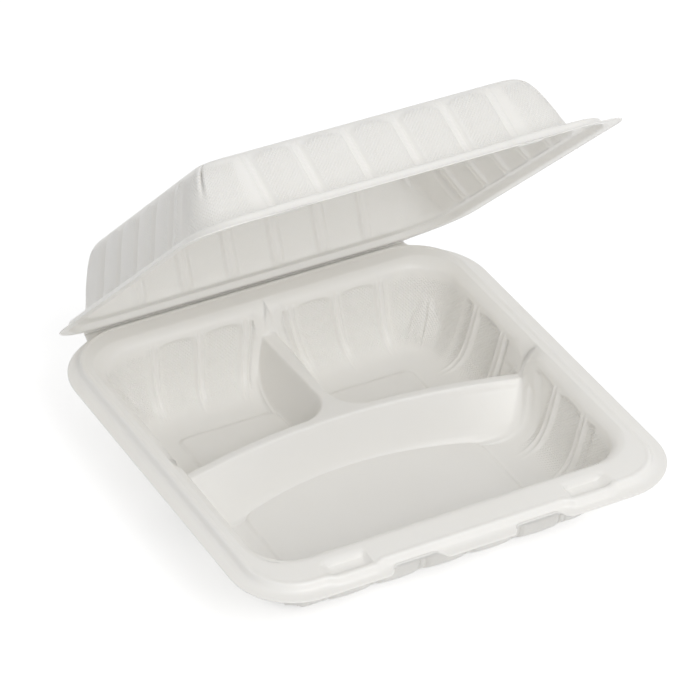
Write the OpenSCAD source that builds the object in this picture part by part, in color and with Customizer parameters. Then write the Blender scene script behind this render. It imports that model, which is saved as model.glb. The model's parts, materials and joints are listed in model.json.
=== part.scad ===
// A hinged food container: a tray with three compartments and a lid on a living hinge.
// The frame: X runs across the container, Y from the front edge to the hinge, Z up from the table.
// The origin lies on the table, midway between the tray's front edge and the hinge's crease.

/* [Sheet] */
// Thickness of the formed plastic sheet
sheet = 0.6; // [0.4:0.1:0.9]
// Clearance between the closed lid and the tray
lid_clear = 0.45; // [0.3:0.05:0.8]
// Gap between tray and lid along the crease of the hinge
crease_gap = 0.4; // [0.3:0.05:0.8]

/* [Tray] */
// Width of the tray across its flange
tray_w = 229; // [210:1:250]
// Depth of the tray from the front of its flange to the back
tray_d = 229; // [215:1:250]
// Height of the flange's top above the table
flange_z = 39.3; // [34:0.1:48]
// Corner radius of the flange at the front
front_corner = 31.5; // [28:0.5:36]
// Corner radius of the flange at the hinge side
back_corner = 37; // [33:0.5:42]
// Height of the raised bead above the flange
bead_h = 3.6; // [2.5:0.1:5]
// Width of the flange outside the bead at the front and sides
flange_w = 8.5; // [8:0.5:11]
// Width of the flange behind the bead
flange_back = 2.5; // [2.2:0.1:4]
// Width of the flat land at the sides
land_side = 5; // [4:0.5:8]
// Width of the flat land at the front, which holds the latch pockets
land_front = 15.5; // [13:0.5:20]
// Width of the flat land at the back
land_back = 11; // [8:0.5:14]
// Corner radius of the opening
opening_corner = 22; // [18:0.5:24]

/* [Compartments] */
// Height of the dividers' tops below the flange's top
divider_drop = 13.5; // [10:0.5:18]
// Half width of the flat top of a divider
ridge_half = 2; // [1.5:0.1:3]
// Place of the cross divider's middle, behind the tray's centre
cross_y = 20.3; // [10:0.5:30]
// Radius of the cross divider's bow
cross_bow = 335; // [250:5:600]
// Corner radius of the back compartments where the dividers meet
junction_corner = 18; // [12:0.5:22]
// Height of the raised floor panels above the floor's edge
panel_rise = 1.2; // [0.6:0.1:2]

/* [Flutes] */
// Distance between neighbouring ribs of the walls
rib_pitch = 25.4; // [23:0.2:28]
// Half width of a rib
rib_half = 2; // [1.5:0.1:3]
// How far a wall panel bulges outwards between its ribs
flute_depth = 2.2; // [1:0.1:3]

/* [Front edge] */
// Half width of the middle tab at its edge
tab_half = 17; // [13:0.5:20]
// Distance from the middle to the outer end of a notch
notch_end = 48; // [44:0.5:52]
// Depth of the notches in the flange
notch_depth = 6; // [3:0.5:7]
// Length along the edge of a notch's slanted end
notch_slant = 5.5; // [4:0.5:7]
// Distance from the middle to the centre of a latch pocket
latch_x = 64; // [62:0.5:68]
// Length of a latch pocket
latch_len = 16; // [12:0.5:18]
// Depth of a latch pocket
latch_drop = 2.6; // [1.5:0.1:2.8]

/* [Lid] */
// Width of the lid across its flange
lid_w = 231; // [226:1:250]
// Distance from the crease to the lid's front edge
lid_d = 228; // [224:1:245]
// Corner radius of the lid's flange at the front
lid_front_corner = 18; // [14:0.5:26]
// Corner radius of the lid's flange at the hinge side
lid_back_corner = 42; // [36:0.5:46]
// Height of the lid's top above its flange
lid_h = 36.6; // [30:0.1:45]
// Angle between lid and tray, from closed
open_angle = 45; // [20:1:90]

/* [Hinge] */
// Half length of the hinge
hinge_half = 90; // [86:0.5:92]
// Distance from the flange's back edge to the crease
hinge_web = 3.2; // [2.6:0.1:5]

/* [Hidden] */

// Outlines are [half width, front y, back y, front corner radius, back corner radius].
back_y = tray_d / 2;
crease_y = back_y + hinge_web;
crease_z = flange_z + lid_clear / 2;
// The lines below are set out from the middle of the tray's flange, and the modules move them to the frame.
middle_y = (crease_y - tray_d / 2) / 2;
bead_x = tray_w / 2 - flange_w;
bead_front = -tray_d / 2 + flange_w;
bead_back = back_y - flange_back;
open_x = bead_x - land_side;
open_front = bead_front + land_front;
open_back = bead_back - land_back;
bead_front_corner = front_corner - flange_w;
back_corner_flange = 7;
bead_back_corner = back_corner - back_corner_flange;
bead_slope = 1.2;
foot_h = 0.2;
pocket_w = 6.8;
pocket_margin = 1;
pocket_outer = bead_front + pocket_margin;
pocket_inner = pocket_outer + pocket_w;
pocket_slope = 1.2;
pocket_bulge = 2.4;
pocket_ease = 3.5;

flange_line = [tray_w / 2, -tray_d / 2, back_y, front_corner, back_corner];
bead_foot_line = [bead_x + bead_slope, bead_front - bead_slope, bead_back + bead_slope / 2,
    bead_front_corner + 1, bead_back_corner + 1];
bead_top_line = [bead_x, bead_front, bead_back, bead_front_corner, bead_back_corner];
opening_line = [open_x, open_front, open_back, opening_corner, opening_corner];
lid_edge_line = [lid_w / 2, crease_y - lid_d, crease_y - hinge_web, lid_front_corner, lid_back_corner];

function grown(line, by) = [line[0] + by, line[1] - by, line[2] + by, line[3] + by, line[4] + by];

// The land between opening and bead, with the two lines of the latch pockets' floor.
function land_line(y) = let (t = (open_front - y) / land_front)
    [for (i = [0:4]) i == 1 ? y : opening_line[i] + (bead_top_line[i] - opening_line[i]) * t];

rim_lines = [
    opening_line,
    land_line(pocket_inner),
    land_line(pocket_inner - pocket_slope),
    land_line(pocket_outer + pocket_slope),
    bead_top_line,
    bead_foot_line,
    flange_line,
];
rim_heights = [bead_h, bead_h, bead_h, bead_h, bead_h, foot_h, 0];
// How much each line moves inwards on the underside, so that the sheet keeps its thickness.
rim_inward = [-0.58, 0, 0, 0, 0.83, 1, 0] * sheet;
last_rim = len(rim_lines) - 1;
top_rim = 4;

function ramp(lo, hi, v) = let (t = max(0, min(1, (v - lo) / (hi - lo)))) t * t * (3 - 2 * t);
function slide(lo, hi, v) = max(0, min(1, (v - lo) / (hi - lo)));

// 1 inside a latch pocket along x, 0 outside it.
function in_pocket(x) = 1 - slide(latch_len / 2 - pocket_slope, latch_len / 2, abs(abs(x) - latch_x));
function near_pocket(x) = 1 - ramp(latch_len / 2, latch_len / 2 + pocket_ease, abs(abs(x) - latch_x));
// 1 inside a notch along x, 0 outside it.
function in_notch(x) = slide(tab_half, tab_half + notch_slant, abs(x))
    * (1 - slide(notch_end - notch_slant, notch_end, abs(x)));

function sorted(v) = len(v) < 2 ? v : let (p = v[floor(len(v) / 2)])
    concat(sorted([for (a = v) if (a < p) a]), [p], sorted([for (a = v) if (a > p) a]));
// The values between two ends, with those that lie too close to their neighbour left out.
function kept(v, gap, i = 0, last = -1000) = i >= len(v) ? []
    : v[i] - last < gap ? kept(v, gap, i + 1, last)
    : concat([v[i]], kept(v, gap, i + 1, v[i]));
function between(v, lo, hi, gap) =
    kept(sorted([for (a = v) if (a > lo + gap && a < hi - gap) a]), gap, 0, lo);
function reversed(v) = [for (i = [len(v) - 1:-1:0]) v[i]];

// Columns run down the walls. A rib takes three of them and a panel one.
function rib_columns(ribs) = concat([for (r = ribs, o = [-rib_half, 0, rib_half]) r + o],
    [for (r = ribs) r + rib_pitch / 2], [for (r = ribs) r - rib_pitch / 2 + 0.01]);
end_ribs = [for (k = [-2.5:1:2.5]) k * rib_pitch];
// The middle rib of the side walls stands in front of the opening's middle.
side_shift = 2.3;
side_middle = (open_front + open_back) / 2 - side_shift;
side_ribs = [for (k = [-2:2]) side_middle + k * rib_pitch];
front_marks = [for (s = [-1, 1], a = [tab_half, tab_half + notch_slant, notch_end - notch_slant, notch_end,
    latch_x - latch_len / 2, latch_x - latch_len / 2 + pocket_slope,
    latch_x + latch_len / 2 - pocket_slope, latch_x + latch_len / 2]) s * a];
column_gap = 0.5;

// Distance over which the walls and dividers blend where they meet.
blend = 8.5;
function cross_at(x) = cross_y - x * x / (2 * cross_bow);
wall_t = cross_at(open_x);
// The straight stretch that all of the outlines of tray and lid have in common.
all_lines = concat(rim_lines, [lid_edge_line]);
straight_x = min([for (l = all_lines) l[0] - max(l[3], l[4])]) - column_gap;
straight_back = min([for (l = all_lines) l[2] - l[4]]) - column_gap;
straight_front = open_front + opening_corner;

front_xs = between(concat(rib_columns(end_ribs), front_marks), -straight_x, straight_x, column_gap);
back_xs = between(rib_columns(end_ribs), blend, straight_x, column_gap);
low_ys = between(rib_columns(side_ribs), straight_front, wall_t - blend, column_gap);
high_ys = between(rib_columns(side_ribs), wall_t + blend, straight_back, column_gap);

// Shares of a quarter turn in the corners. At the back one of them ends the hinge.
hinge_share = asin(max(0.05, min(0.6, (hinge_half - tray_w / 2 + back_corner) / back_corner))) / 90;
front_shares = [0:1 / 8:1];
turn_in = [0, hinge_share, hinge_share + 0.02, 0.36, 0.48, 0.6, 0.73, 0.86, 1];
turn_out = reversed([for (t = turn_in) 1 - t]);

// The rim's columns as [segment, place], counter-clockwise from the right end of the cross divider.
// Segments are 0 front, 2 right, 4 back and 6 left, with the corner that follows each of them between.
rim = concat(
    [for (o = [0, 0.5, 1]) [2, wall_t + o * blend]], [for (y = high_ys) [2, y]],
    [for (t = turn_out) [3, t]],
    [for (x = reversed(back_xs)) [4, x]], [for (o = [1, 0.5, 0, -0.5, -1]) [4, o * blend]],
    [for (x = back_xs) [4, -x]],
    [for (t = turn_in) [5, t]],
    [for (y = reversed(high_ys)) [6, y]], [for (o = [1, 0.5, 0, -0.5, -1]) [6, wall_t + o * blend]],
    [for (y = reversed(low_ys)) [6, y]],
    [for (t = front_shares) [7, t]],
    [for (x = front_xs) [0, x]],
    [for (t = front_shares) [1, t]],
    [for (y = low_ys) [2, y]], [for (o = [-1, -0.5]) [2, wall_t + o * blend]]);
rim_n = len(rim);

corner_sign = [[1, -1], [1, 1], [-1, 1], [-1, -1]];
function on_line(u, line) =
    u[0] == 0 ? [u[1], line[1]]
    : u[0] == 2 ? [line[0], u[1]]
    : u[0] == 4 ? [u[1], line[2]]
    : u[0] == 6 ? [-line[0], u[1]]
    : let (c = (u[0] - 1) / 2, s = corner_sign[c], r = s[1] < 0 ? line[3] : line[4])
        [s[0] * (line[0] - r) + r * cos(90 * (c - 1 + u[1])),
         (s[1] < 0 ? line[1] + r : line[2] - r) + r * sin(90 * (c - 1 + u[1]))];

function on_hinge(u) = u[0] == 4 || (u[0] == 3 && u[1] >= 1 - hinge_share - 0.001)
    || (u[0] == 5 && u[1] <= hinge_share + 0.001);

// One point of the tray's rim: line k, column u, 0 for the top of the sheet and 1 for its underside.
function rim_point(k, u, under) = let (
        p = on_line(u, grown(rim_lines[k], -rim_inward[k] * under)),
        front = u[0] == 0,
        hinge = k == last_rim && on_hinge(u),
        out = !front ? 0
            : k == last_rim ? notch_depth * in_notch(u[1])
            : k >= top_rim ? -pocket_bulge * near_pocket(u[1]) : 0,
        sink = front && (k == 2 || k == 3) ? latch_drop * in_pocket(u[1]) : 0)
    [p[0], hinge ? crease_y - crease_gap / 2 : p[1] + out,
     flange_z + rim_heights[k] - sink - under * sheet];

// Wall and divider sections as [distance from the edge, height below the flange], with the underside
// moved square to the surface by the sheet's thickness.
floor_drop = flange_z - sheet;
wall_section = [[0, bead_h], [1.6, 2.6], [4.4, 0.6], [5.2, -2.5], [7.8, -15], [12.4, -floor_drop + 9.2],
    [17.2, -floor_drop + 3.4], [25.5, -floor_drop], [34.5, -floor_drop], [37, -floor_drop + panel_rise]];
divider_section = [[0, -divider_drop], [ridge_half, -divider_drop], [ridge_half + 0.9, -divider_drop - 1],
    [ridge_half + 2.2, -divider_drop - 4], [ridge_half + 3.8, -divider_drop - 9],
    [ridge_half + 5.6, -floor_drop + 8.8], [ridge_half + 7.2, -floor_drop + 4.4],
    [ridge_half + 8.3, -floor_drop + 2.2], [ridge_half + 9, -floor_drop + 1.4],
    [ridge_half + 9.8, -floor_drop + panel_rise]];
flute_share = [0, 0, 0.1, 0.9, 1, 1, 0.8, 0.3, 0, 0];
last_ring = len(wall_section) - 1;

function turned(s, by) = [for (i = [0:len(s) - 1]) let (
        a = s[max(i - 1, 0)], b = s[min(i + 1, len(s) - 1)], d = (b - a) / norm(b - a))
    s[i] + by * [d[1], -d[0]]];
wall_under = turned(wall_section, sheet);
divider_under = turned(divider_section, sheet);
function section(j, under) = under == 1 ? wall_under[j] : wall_section[j];
// The two faces of a divider keep apart under its top.
ridge_gap = 0.4;
ridge_step = 0.1;
function ridge(j, under) = under == 1
    ? [max(divider_under[j][0], ridge_gap + ridge_step * j), divider_under[j][1]] : divider_section[j];
wall_corner = [22, 21.6, 20, 19.5, 18.4, 16.6, 14.8, 12.6, 10.5, 10] * opening_corner / 22;
end_corner = [0, 5, 5.5, 6, 6.5, 7, 7, 7, 7, 7];
inner_corner = [0, 1, 0.98, 0.94, 0.88, 0.8, 0.74, 0.7, 0.66, 0.62] * junction_corner;

// Outward bulge of a wall panel. A rib's crest stands inside the wall's line, and the share of the bulge
// that is reached at the rib's foot grows to all of it midway between two ribs.
rib_crest = 0.3;
rib_share = 0.55;
function bulge(v, first) = let (
        w = (v - first) / rib_pitch,
        off = abs(w - round(w)) * rib_pitch)
    off < rib_half ? (flute_depth * rib_share + rib_crest) * off / rib_half - rib_crest
    : flute_depth * (rib_share + (1 - rib_share) * sin(90 * (off - rib_half) / (rib_pitch / 2 - rib_half)));

function arc(centre, r, from, t) = centre + r * [cos(from + 90 * t), sin(from + 90 * t)];

// The columns of a compartment as [part, share]. Parts 0, 2, 4 and 6 are sides and 1, 3, 5 and 7 corners.
fifths = [0, 0.25, 0.5, 0.75, 1];
cross_n = 6;
centre_n = 4;
function shares(v, lo, hi) = [for (a = v) (a - lo) / (hi - lo)];
function steps(n) = [for (i = [1:n]) i / (n + 1)];

// Front compartment, from the right end of the cross divider to the left, then round the front.
front_cell = concat(
    [for (t = [0.5, 0.75, 1]) [1, t]], [for (t = steps(2 * cross_n + 5)) [2, t]], [for (t = fifths) [3, t]],
    [for (t = shares(reversed(low_ys), wall_t - blend, straight_front)) [4, t]],
    [for (t = front_shares) [5, t]],
    [for (t = shares(front_xs, -straight_x, straight_x)) [6, t]],
    [for (t = front_shares) [7, t]],
    [for (t = shares(low_ys, straight_front, wall_t - blend)) [0, t]], [for (t = [0, 0.25]) [1, t]]);

// Right-hand back compartment, from the right end of the cross divider round the back.
back_cell = concat(
    [for (t = [0.5, 0.75, 1]) [7, t]],
    [for (t = shares(high_ys, wall_t + blend, open_back - opening_corner)) [0, t]],
    [for (t = turn_out) [1, t]],
    [for (t = shares(reversed(back_xs), open_x - opening_corner, blend)) [2, t]], [for (t = fifths) [3, t]],
    [for (t = steps(centre_n)) [4, t]], [for (t = fifths) [5, t]],
    [for (t = steps(cross_n)) [6, t]], [for (t = [0, 0.25]) [7, t]]);

function blended(a, b, t) = let (s = ramp(0, 1, t)) [a[0] + (b[0] - a[0]) * s, a[1] + (b[1] - a[1]) * s];

function front_point(j, c, under) = let (
        w = section(j, under), e = ridge(j, under), part = c[0], t = c[1],
        x1 = open_x - w[0], y0 = open_front + w[0], r = wall_corner[j], q = end_corner[j],
        top = cross_at(x1 - q) - e[0] - q, f = flute_share[j],
        side = t * (top - y0 - r) + y0 + r, along = (2 * t - 1) * (x1 - r),
        v_side = part == 0 ? straight_front + t * (wall_t - blend - straight_front)
            : wall_t - blend + t * (straight_front - wall_t + blend),
        v_front = (2 * t - 1) * straight_x)
    part == 0 ? [x1 + f * bulge(v_side, side_middle), side, w[1]]
    : part == 1 ? let (p = arc([x1 - q, top], q, 0, t), m = blended(w, e, t)) [p[0], p[1], m[1]]
    : part == 2 ? let (x = (1 - 2 * t) * (x1 - q)) [x, cross_at(x) - e[0], e[1]]
    : part == 3 ? let (p = arc([q - x1, top], q, 90, t), m = blended(e, w, t)) [p[0], p[1], m[1]]
    : part == 4 ? [-x1 - f * bulge(v_side, side_middle), top + t * (y0 + r - top), w[1]]
    : part == 5 ? let (p = arc([r - x1, y0 + r], r, 180, t)) [p[0], p[1], w[1]]
    : part == 6 ? [along, y0 - f * bulge(v_front, end_ribs[0]), w[1]]
    : let (p = arc([x1 - r, y0 + r], r, 270, t)) [p[0], p[1], w[1]];

function back_point(j, c, under) = let (
        w = section(j, under), e = ridge(j, under), part = c[0], t = c[1],
        x0 = e[0], x1 = open_x - w[0], y1 = open_back - w[0],
        r = wall_corner[j], q = end_corner[j], g = inner_corner[j],
        low = cross_at(x1 - q) + e[0] + q, inner = cross_at(x0 + g) + e[0] + g, f = flute_share[j],
        v_side = wall_t + blend + t * (open_back - opening_corner - wall_t - blend),
        v_back = open_x - opening_corner + t * (blend - open_x + opening_corner))
    part == 0 ? [x1 + f * bulge(v_side, side_middle), low + t * (y1 - r - low), w[1]]
    : part == 1 ? let (p = arc([x1 - r, y1 - r], r, 0, t)) [p[0], p[1], w[1]]
    : part == 2 ? [x1 - r + t * (x0 + q - x1 + r), y1 + f * bulge(v_back, end_ribs[0]), w[1]]
    : part == 3 ? let (p = arc([x0 + q, y1 - q], q, 90, t), m = blended(w, e, t)) [p[0], p[1], m[1]]
    : part == 4 ? [x0, y1 - q + t * (inner - y1 + q), e[1]]
    : part == 5 ? let (p = arc([x0 + g, inner], g, 180, t)) [p[0], p[1], e[1]]
    : part == 6 ? let (x = x0 + g + t * (x1 - q - x0 - g)) [x, cross_at(x) + e[0], e[1]]
    : let (p = arc([x1 - q, low], q, 270, t), m = blended(e, w, t)) [p[0], p[1], m[1]];

function raised(p) = [p[0], p[1], p[2] + flange_z];
function mirrored(p) = [-p[0], p[1], p[2]];

// The dividers' middle lines, which neighbouring compartments share. They climb the wall at their ends.
climb_share = 0.45;
climb = [-divider_drop, -divider_drop * climb_share + bead_h * (1 - climb_share) / 2.75];
half_xs = concat([blend * 0.5, blend],
    [for (t = steps(cross_n)) blend + t * (open_x - junction_corner - blend)],
    [open_x - junction_corner, open_x - junction_corner / 2]);
cross_xs = concat([for (a = half_xs) open_x - a], [0], [for (a = reversed(half_xs)) a - open_x]);
function line_height(i, n) = i == 0 || i == n - 1 ? climb[1] : climb[0];
cross_line = [for (i = [0:len(cross_xs) - 1])
    [cross_xs[i], cross_at(cross_xs[i]), line_height(i, len(cross_xs))]];
centre_length = open_back - cross_y;
centre_steps = concat([blend * 0.5, blend],
    [for (t = steps(centre_n)) blend + t * (centre_length - junction_corner - blend)],
    [centre_length - junction_corner, centre_length - junction_corner / 2]);
centre_line = [for (i = [0:len(centre_steps) - 1])
    [0, open_back - centre_steps[i], i == 0 ? climb[1] : climb[0]]];

cross_id = rim_n * len(rim_lines);
centre_id = cross_id + len(cross_line);
front_id = centre_id + len(centre_line);
right_id = front_id + len(front_cell) * last_ring;
left_id = right_id + len(back_cell) * last_ring;
hub_id = left_id + len(back_cell) * last_ring;
tray_n = hub_id + 3;

// The middle of each compartment's floor panel.
front_hub = (open_front + cross_y) / 2;
back_hub = [open_x / 2, (open_back + cross_y) / 2];

function tray_points(under) = concat(
    [for (k = [0:last_rim], u = rim) rim_point(k, u, under)],
    [for (p = cross_line) raised(p - [0, 0, under * sheet])],
    [for (p = centre_line) raised(p - [0, 0, under * sheet])],
    [for (j = [1:last_ring], c = front_cell) raised(front_point(j, c, under))],
    [for (j = [1:last_ring], c = back_cell) raised(back_point(j, c, under))],
    [for (j = [1:last_ring], c = back_cell) raised(mirrored(back_point(j, c, under)))],
    [for (p = [[0, front_hub], back_hub, mirrored(back_hub)])
        raised([p[0], p[1], section(last_ring, under)[1]])]);

// Where the rim's columns pass the back end of the centre divider and the left end of the cross divider.
half_back = 3 + len(high_ys) + len(turn_out) + len(back_xs) + 2;
left_t = 2 * half_back;
function run(from, to) = from <= to ? [for (i = [from:to]) i] : [for (i = [from:-1:to]) i];
cross_mid = (len(cross_line) - 1) / 2;
cross_last = len(cross_line) - 1;
centre_last = len(centre_line) - 1;

front_edge = concat([0], run(cross_id, cross_id + cross_last), run(left_t, rim_n - 1));
right_edge = concat(run(0, half_back), run(centre_id, centre_id + centre_last),
    run(cross_id + cross_mid, cross_id));
// The left compartment mirrors the right one, so its columns run the other way round.
left_loop = concat([left_t], reversed(run(half_back, left_t - 1)), run(centre_id, centre_id + centre_last),
    run(cross_id + cross_mid, cross_id + cross_last));

// Two rings of one length, joined by triangles. Flip turns them to face the other way.
function band(a, b, flip) = let (n = len(a)) [for (i = [0:n - 1], h = [0, 1]) let (m = (i + 1) % n,
        f = h == 0 ? [a[i], b[i], b[m]] : [a[i], b[m], a[m]])
    flip ? [f[2], f[1], f[0]] : f];
function moved(v, by) = [for (a = v) a + by];

// Closes a ring by triangles that meet at one point, the hub.
function fan(ring, hub, flip) = let (n = len(ring)) [for (i = [0:n - 1]) let (m = (i + 1) % n)
    flip ? [ring[i], ring[m], hub] : [ring[m], ring[i], hub]];

function cell_faces(edge, first, n, hub, by, flip) = concat(
    band(moved(edge, by), run(first + by, first + by + n - 1), flip),
    [for (j = [1:last_ring - 1]) each band(run(first + by + (j - 1) * n, first + by + j * n - 1),
        run(first + by + j * n, first + by + (j + 1) * n - 1), flip)],
    fan(run(first + by + (last_ring - 1) * n, first + by + last_ring * n - 1), hub + by, flip));

function tray_side(by, flip) = concat(
    [for (k = [0:last_rim - 1]) each band(run(by + (k + 1) * rim_n, by + (k + 2) * rim_n - 1),
        run(by + k * rim_n, by + (k + 1) * rim_n - 1), flip)],
    cell_faces(front_edge, front_id, len(front_cell), hub_id, by, flip),
    cell_faces(right_edge, right_id, len(back_cell), hub_id + 1, by, flip),
    cell_faces(left_loop, left_id, len(back_cell), hub_id + 2, by, !flip));

module tray() {
    edge = run(last_rim * rim_n, last_rim * rim_n + rim_n - 1);
    color("ivory") translate([0, -middle_y, 0]) polyhedron(concat(tray_points(0), tray_points(1)),
        concat(tray_side(0, false), tray_side(tray_n, true), band(moved(edge, tray_n), edge, false)));
}

// The lid's inside follows the tray's rim at the clearance, then rises as a wall to its top. Its latch
// bosses stand inside the pockets, so they are clear of the pockets' inner walls the other way.
function lid_side_of(k) = k >= top_rim || k == 1 || k == 2 ? 1 : -1;
lid_lines = concat([for (k = [0:last_rim - 1]) grown(rim_lines[k], lid_side_of(k) * lid_clear)],
    [lid_edge_line]);
lid_section = [[0, bead_h], [1.8, bead_h + 2.4], [3.6, bead_h + 5.6], [4.6, bead_h + 8.4],
    [8.2, lid_h * 0.58], [12.2, lid_h - 6.6], [15, lid_h - 2.6], [18.6, lid_h - 0.5], [25, lid_h]];
lid_flute = [0, 0, 0.1, 0.9, 1, 1, 0.8, 0.1, 0];
lid_corner = [22, 22, 21.8, 21.5, 21, 20.5, 20, 20, 20] * opening_corner / 22;
lid_last = len(lid_section) - 1;
lid_outer = turned(lid_section, -sheet);
lid_rise = lid_clear;

function lid_rim_point(k, u, over) = let (
        p = on_line(u, grown(lid_lines[k], rim_inward[k] * over)),
        front = u[0] == 0,
        hinge = k == last_rim && on_hinge(u),
        out = front && k >= top_rim && k < last_rim ? -pocket_bulge * near_pocket(u[1]) : 0,
        sink = front && (k == 2 || k == 3) ? latch_drop * in_pocket(u[1]) : 0)
    [p[0], hinge ? crease_y - crease_gap / 2 : p[1] + out,
     rim_heights[k] - sink + lid_rise + over * sheet];

function lid_bulge(u) = u[0] == 0 || u[0] == 4 ? bulge(u[1], end_ribs[0])
    : u[0] == 2 || u[0] == 6 ? bulge(u[1], side_middle) : flute_depth * 0.5;
function lid_squeeze(u, line) = let (
        m = (line[1] + line[2]) / 2, m0 = (open_front + open_back) / 2,
        sx = (line[0] - max(line[3], line[4])) / (open_x - opening_corner),
        sy = (line[2] - line[1] - line[3] - line[4]) / (open_back - open_front - 2 * opening_corner))
    u[0] == 0 || u[0] == 4 ? [u[0], u[1] * sx]
    : u[0] == 2 || u[0] == 6 ? [u[0], m + (u[1] - m0) * sy] : u;
function lid_wall_point(j, u, over) = let (
        s = over == 1 ? lid_outer[j] : lid_section[j],
        line = [for (i = [0:4]) i == 0 ? open_x - lid_clear - s[0] : i == 1 ? open_front + lid_clear + s[0]
            : i == 2 ? open_back - lid_clear - s[0] : lid_corner[j]],
        p = on_line(lid_squeeze(u, line), grown(line, lid_flute[j] * lid_bulge(u))))
    [p[0], p[1], s[1] + lid_rise];

lid_n = rim_n * (len(rim_lines) + lid_last) + 1;
function lid_points(over) = concat(
    [for (k = [last_rim:-1:0], u = rim) lid_rim_point(k, u, over)],
    [for (j = [1:lid_last], u = rim) lid_wall_point(j, u, over)],
    [[0, (open_front + open_back) / 2, (over == 1 ? lid_outer : lid_section)[lid_last][1] + lid_rise]]);
lid_rings = len(rim_lines) + lid_last;
function lid_side(by, flip) = concat(
    [for (k = [0:lid_rings - 2]) each band(run(by + k * rim_n, by + (k + 1) * rim_n - 1),
        run(by + (k + 1) * rim_n, by + (k + 2) * rim_n - 1), flip)],
    fan(run(by + (lid_rings - 1) * rim_n, by + lid_rings * rim_n - 1), by + lid_n - 1, flip));

module lid() {
    edge = run(0, rim_n - 1);
    color("ivory") translate([0, crease_y - middle_y, crease_z]) rotate([-open_angle, 0, 0])
        translate([0, -crease_y, flange_z - crease_z]) polyhedron(concat(lid_points(0), lid_points(1)),
            concat(lid_side(0, true), lid_side(lid_n, false), band(edge, moved(edge, lid_n), false)));
}

tray();
lid();
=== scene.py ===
import json
import math
import bpy
import bmesh
import numpy as np
from mathutils import Matrix, Vector


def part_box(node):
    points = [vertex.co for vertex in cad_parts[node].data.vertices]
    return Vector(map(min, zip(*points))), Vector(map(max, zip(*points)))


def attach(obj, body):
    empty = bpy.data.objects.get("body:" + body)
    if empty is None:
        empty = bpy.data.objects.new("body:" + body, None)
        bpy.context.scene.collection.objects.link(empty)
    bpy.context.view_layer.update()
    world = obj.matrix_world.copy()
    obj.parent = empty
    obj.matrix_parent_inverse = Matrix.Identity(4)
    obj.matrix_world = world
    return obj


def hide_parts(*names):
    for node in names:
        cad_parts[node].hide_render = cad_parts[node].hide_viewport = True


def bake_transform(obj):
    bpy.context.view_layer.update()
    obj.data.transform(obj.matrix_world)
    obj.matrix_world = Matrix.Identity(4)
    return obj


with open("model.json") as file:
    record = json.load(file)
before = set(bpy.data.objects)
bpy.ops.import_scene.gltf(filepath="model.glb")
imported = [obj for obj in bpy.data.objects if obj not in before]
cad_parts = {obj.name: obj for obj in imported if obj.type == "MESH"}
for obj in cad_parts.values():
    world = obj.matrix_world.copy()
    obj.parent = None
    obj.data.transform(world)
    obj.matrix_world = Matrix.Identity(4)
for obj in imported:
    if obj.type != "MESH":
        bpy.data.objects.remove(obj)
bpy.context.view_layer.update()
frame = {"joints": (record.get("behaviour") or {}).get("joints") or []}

# Sizes in this script are in millimetres, and meshes are written in metres
MM = 0.001

# What the frame gives
HINGE = frame["joints"][0]
CREASE = np.array(HINGE["pos_m"]) / MM
TRAY_LOW, TRAY_HIGH = (np.array(corner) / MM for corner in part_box("tray"))

# Outlines are [half width, front y, back y, front corner radius, back corner radius]. They are set out
# from the middle of the tray's flange, and heights are above the flange's top.
BEAD_H = 3.6
EDGE_Z = BEAD_H - 0.15
SHEET = 0.6
MERGE = 0.004
HALF = TRAY_HIGH[0]
SHIFT = np.array([0.0, TRAY_LOW[1] + HALF, TRAY_HIGH[2] - BEAD_H])
CREASE_Y = CREASE[1] - SHIFT[1]
CREASE_Z = CREASE[2] - SHIFT[2]
FLANGE_W = 8.5
FLANGE_BACK = 2.5
FLANGE = np.array([HALF, -HALF, HALF, 31.5, 37.0])
BEAD = np.array([HALF - FLANGE_W, -HALF + FLANGE_W, HALF - FLANGE_BACK, 23.0, 30.0])
OPENING = np.array([BEAD[0] - 5.0, BEAD[1] + 15.5, BEAD[2] - 11.0, 22.0, 22.0])
LID_CLEAR = 0.45
LID_EDGE = np.array([114.2, CREASE_Y - 229.8, HALF, 21.0, 36.5])
OPEN_ANGLE = math.radians(45.0)

DIAGONAL = 0.707

# Straight stretches that keep their columns from the rim down to the floor
SPAN_X = 66.0
SIDE_FRONT, SIDE_BACK = -56.0, 62.0
FRONT_SIDE_TOP, BACK_SIDE_LOW = -17.0, 24.0
CENTRE_END = 8.2
CROSS_SPAN = 64.0

# Ribs, and the panels between them
PITCH = 25.4
RIB_PAIR = 1.7
RIB_WIDTH = 0.62
PLATEAU = 2.7
END_RIBS = np.arange(-2.5, 3.0) * PITCH
SIDE_RIBS = 2.95 + np.arange(-2, 3) * PITCH
RIB_COLUMNS = (0.0, 0.6, 1.15, 1.7, 2.25, 2.8, 3.4, 4.6, 7.0, 9.8, PITCH / 2)

# Dividers
DIVIDER_TOP = -13.5
CROSS_Y = 20.3
CROSS_BOW = 335.0
FOOT_BOW = 650.0
JUNCTION = 18.0
FLOOR = -38.7

# Front flange
TAB_HALF, NOTCH_END, NOTCH_DEPTH = 17.0, 48.0, 6.2
LATCH_X, LATCH_HALF, LATCH_DROP, LATCH_BULGE = 63.0, 10.0, 2.6, 2.4
HINGE_HALF = 90.0
WEB_GAP = 0.15


def ease(low, high, value):
    """0 below low, 1 above high and smooth between them."""
    t = np.clip((value - low) / (high - low), 0.0, 1.0)
    return t * t * (3 - 2 * t)


def spline(points, at):
    """A smooth curve along a control polygon. Place i of it is beside control point i."""
    p = np.asarray(points, float)
    p = np.vstack([2 * p[0] - p[1], p, 2 * p[-1] - p[-2]])
    i = np.clip(np.floor(at + 0.5).astype(int), 0, len(p) - 3)
    f = (at + 0.5 - i)[:, None]
    return 0.5 * (1 - f) ** 2 * p[i] + (0.5 + f - f * f) * p[i + 1] + 0.5 * f * f * p[i + 2]


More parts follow.
